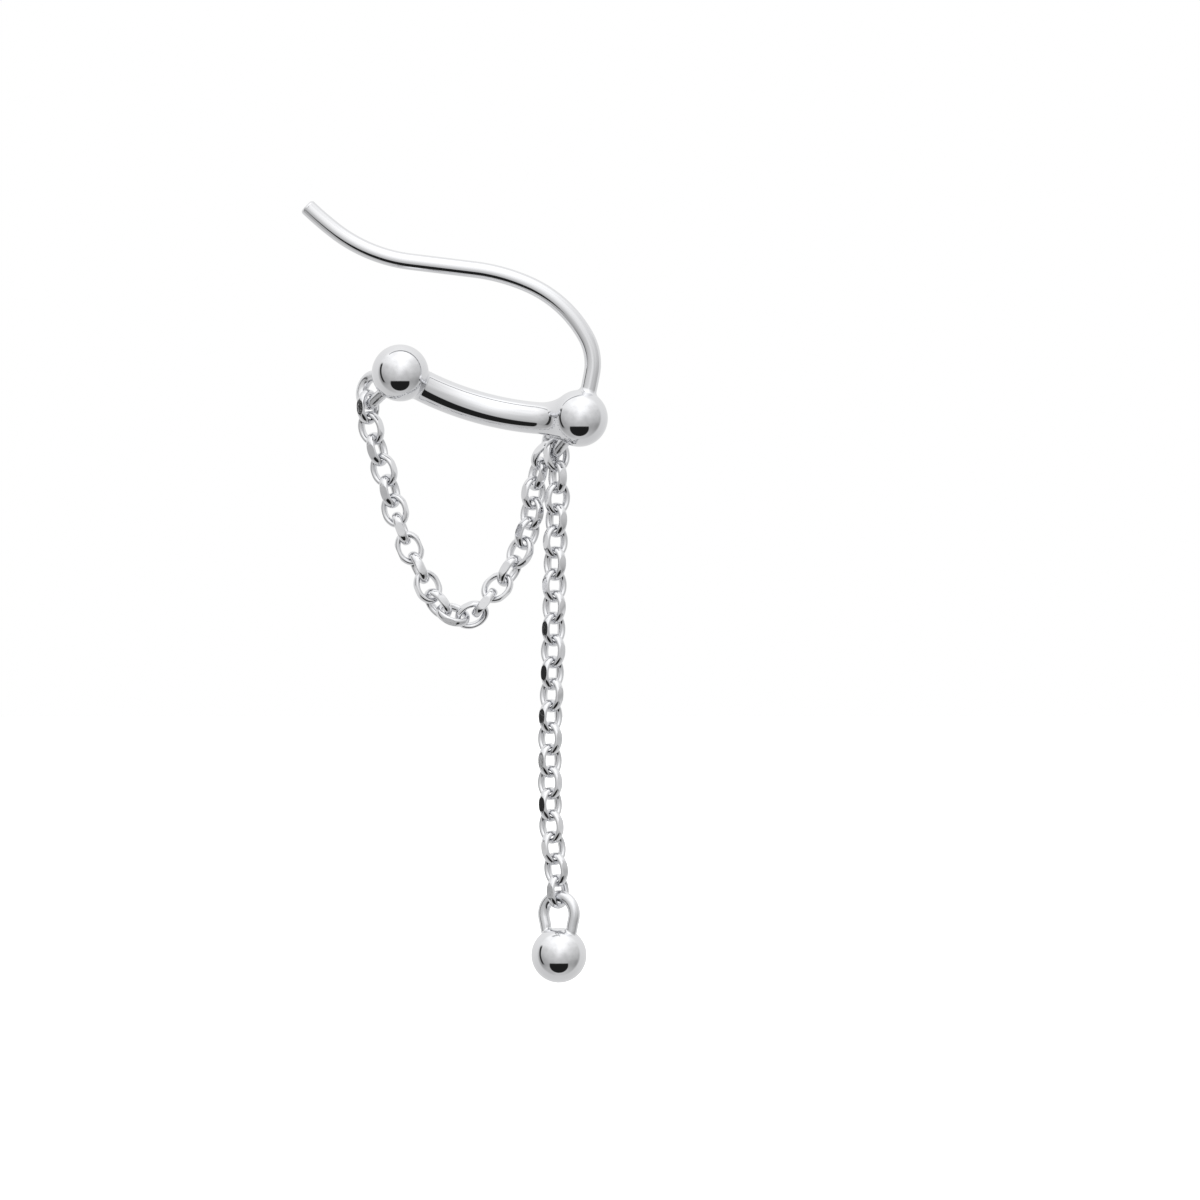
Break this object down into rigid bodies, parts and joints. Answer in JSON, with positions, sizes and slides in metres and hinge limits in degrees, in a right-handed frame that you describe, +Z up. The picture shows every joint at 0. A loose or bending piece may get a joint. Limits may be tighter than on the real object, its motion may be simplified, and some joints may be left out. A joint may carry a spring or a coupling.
{
  "type": "ear climber with draped chain and ball drop",
  "caption": "Silver ear climber: a bowed bar between two balls with an ear wire, a swag of fine cable chain below it and a long chain drop with a ball.",
  "frame": {"origin": "middle of the ear wire where it passes through the ear", "axes": "+Z up as worn, +X to the right in the front view, -Y to the front"},
  "size_m": [0.0162, 0.0044, 0.0412],
  "materials": {
    "silver": "polished rhodium-plated sterling silver"
  },
  "bodies": {
    "climber": {"climber_bar": "silver", "swag_link_01": "silver", "swag_link_02": "silver", "swag_link_03": "silver", "swag_link_04": "silver", "swag_link_05": "silver", "swag_link_06": "silver", "swag_link_07": "silver", "swag_link_08": "silver", "swag_link_09": "silver", "swag_link_10": "silver", "swag_link_11": "silver", "swag_link_12": "silver", "swag_link_13": "silver", "swag_link_14": "silver", "swag_link_15": "silver", "swag_link_16": "silver", "swag_link_17": "silver", "swag_link_18": "silver", "swag_link_19": "silver", "swag_link_20": "silver", "swag_link_21": "silver", "swag_link_22": "silver", "drop_link_01": "silver", "drop_link_02": "silver", "drop_link_03": "silver", "drop_link_04": "silver", "drop_link_05": "silver", "drop_link_06": "silver", "drop_link_07": "silver", "drop_link_08": "silver", "drop_link_09": "silver", "drop_link_10": "silver", "drop_link_11": "silver", "drop_link_12": "silver", "drop_link_13": "silver", "drop_link_14": "silver", "drop_link_15": "silver", "drop_link_16": "silver", "drop_link_17": "silver", "drop_link_18": "silver", "drop_link_19": "silver", "drop_link_20": "silver", "drop_link_21": "silver"},
    "drop": {"drop_ball": "silver"}
  },
  "joints": [
    {"name": "drop_swing", "type": "hinge", "parent": "climber", "child": "drop", "pos_m": [-0.0018, 0.00143, -0.02886], "axis": [0.53, 0.848, 0], "range_deg": [-55, 55]}
  ]
}
